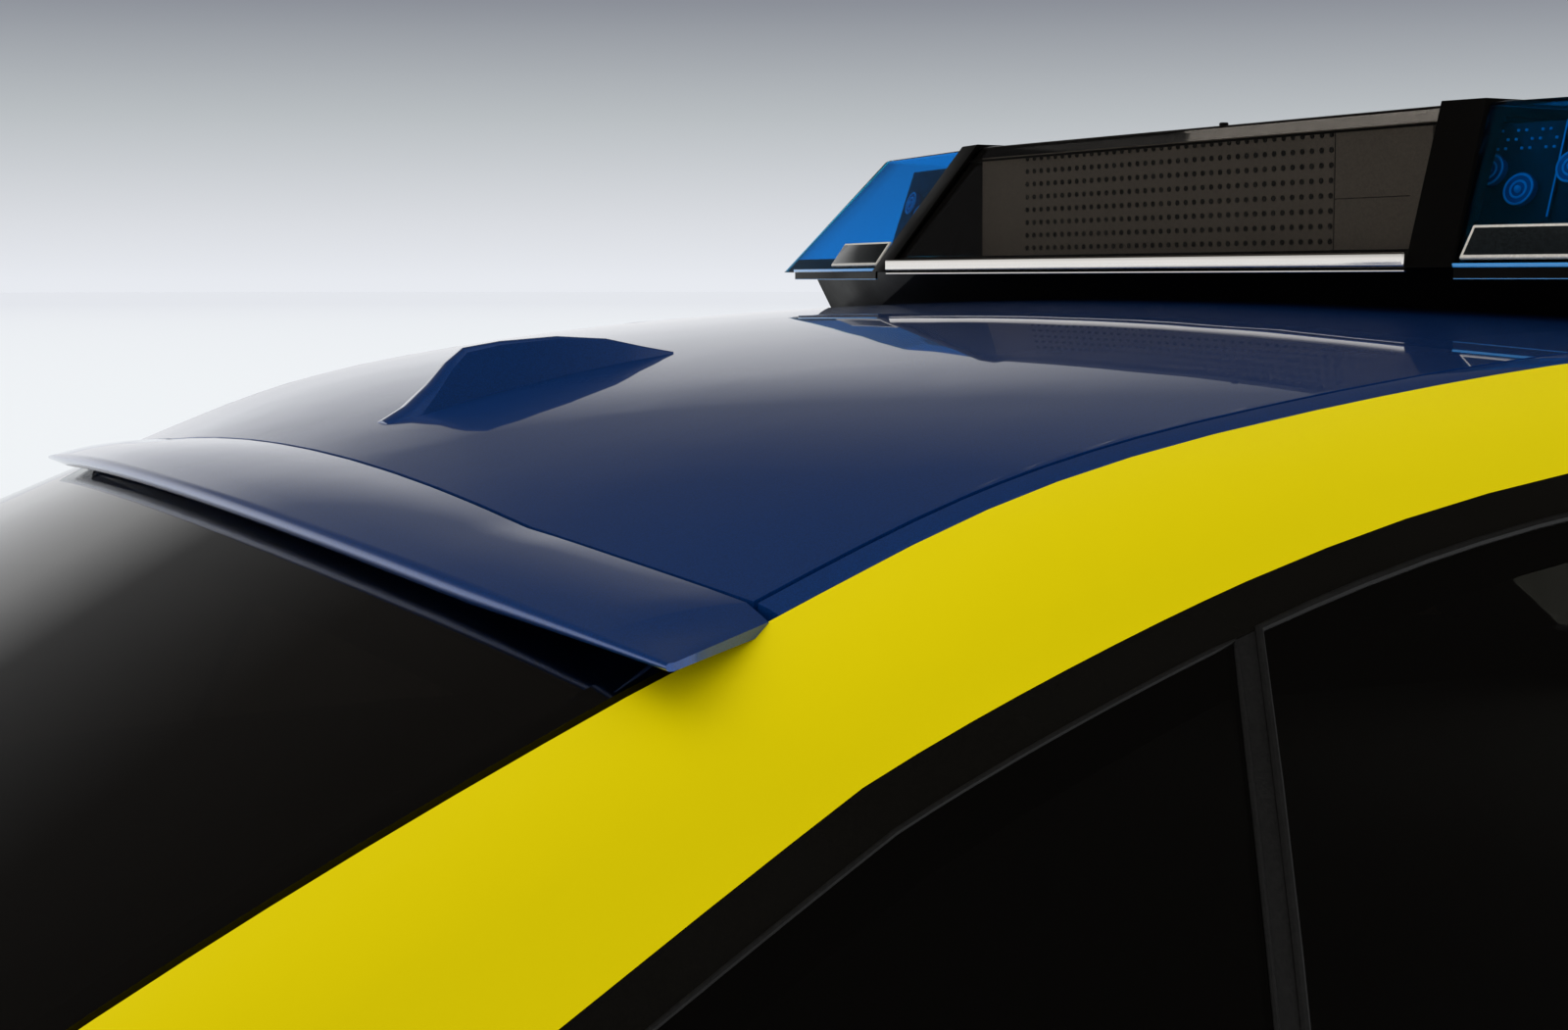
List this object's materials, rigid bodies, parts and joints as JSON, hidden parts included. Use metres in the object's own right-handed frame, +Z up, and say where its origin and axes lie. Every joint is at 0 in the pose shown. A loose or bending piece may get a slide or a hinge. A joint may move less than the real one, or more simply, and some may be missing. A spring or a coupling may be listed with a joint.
{
  "type": "car upper body with light bar",
  "caption": "Roof, pillars and glass of a two-door patrol car, cut off level at the waist, with rear spoiler, fin aerial and blue light bar.",
  "frame": {"origin": "on the level cut, in the car's middle plane, half way between the two upright end cuts", "axes": "+X to the car's right, +Y forward, +Z up"},
  "size_m": [1.5768, 2.605, 0.561],
  "materials": {
    "blue_paint": "gloss deep blue metallic paint",
    "yellow_film": "satin yellow marking film over painted steel",
    "black_trim": "satin black window trim",
    "dark_glass": "dark privacy glass",
    "screen_glass": "laminated windscreen with a grey tint",
    "frame_trim": "grained dark trim over the steel frame",
    "headlining": "dark grey knitted headlining",
    "blue_dome": "clear blue lamp dome",
    "bar_black": "black moulded plastic",
    "bar_smoke": "smoke tinted cover",
    "bar_bright": "polished trim",
    "lamp_clear": "clear lens",
    "sign_face": "dark perforated plate"
  },
  "bodies": {
    "root": {"bar_cover": "bar_smoke", "bar_dome_left": "blue_dome", "bar_dome_right": "blue_dome", "bar_fairing": "bar_black", "bar_rib_left": "bar_black", "bar_rib_right": "bar_black", "bar_strip": "bar_bright", "bar_tray": "bar_black", "cowl_rail": "blue_paint", "deck_rail": "blue_paint", "door_glass_left": "dark_glass", "door_glass_right": "dark_glass", "door_top_left": "blue_paint", "door_top_right": "blue_paint", "fin_aerial": "blue_paint", "front_header": "frame_trim", "glass_divider_left": "black_trim", "glass_divider_right": "black_trim", "headliner": "headlining", "lamp_core_left": "bar_black", "lamp_core_right": "bar_black", "lamp_lenses_left": "lamp_clear", "lamp_lenses_right": "lamp_clear", "lamp_pane_left": "lamp_clear", "lamp_pane_right": "lamp_clear", "quarter_glass_left": "dark_glass", "quarter_glass_right": "dark_glass", "rear_glass": "dark_glass", "rear_header": "frame_trim", "roof_panel": "blue_paint", "roof_spoiler": "blue_paint", "roof_strip_left": "blue_paint", "roof_strip_right": "blue_paint", "side_frame_left": "frame_trim", "side_frame_right": "frame_trim", "side_panel_left": "yellow_film", "side_panel_right": "yellow_film", "sign_panel": "sign_face", "window_surround_left": "black_trim", "window_surround_right": "black_trim", "windscreen": "screen_glass"}
  },
  "joints": []
}
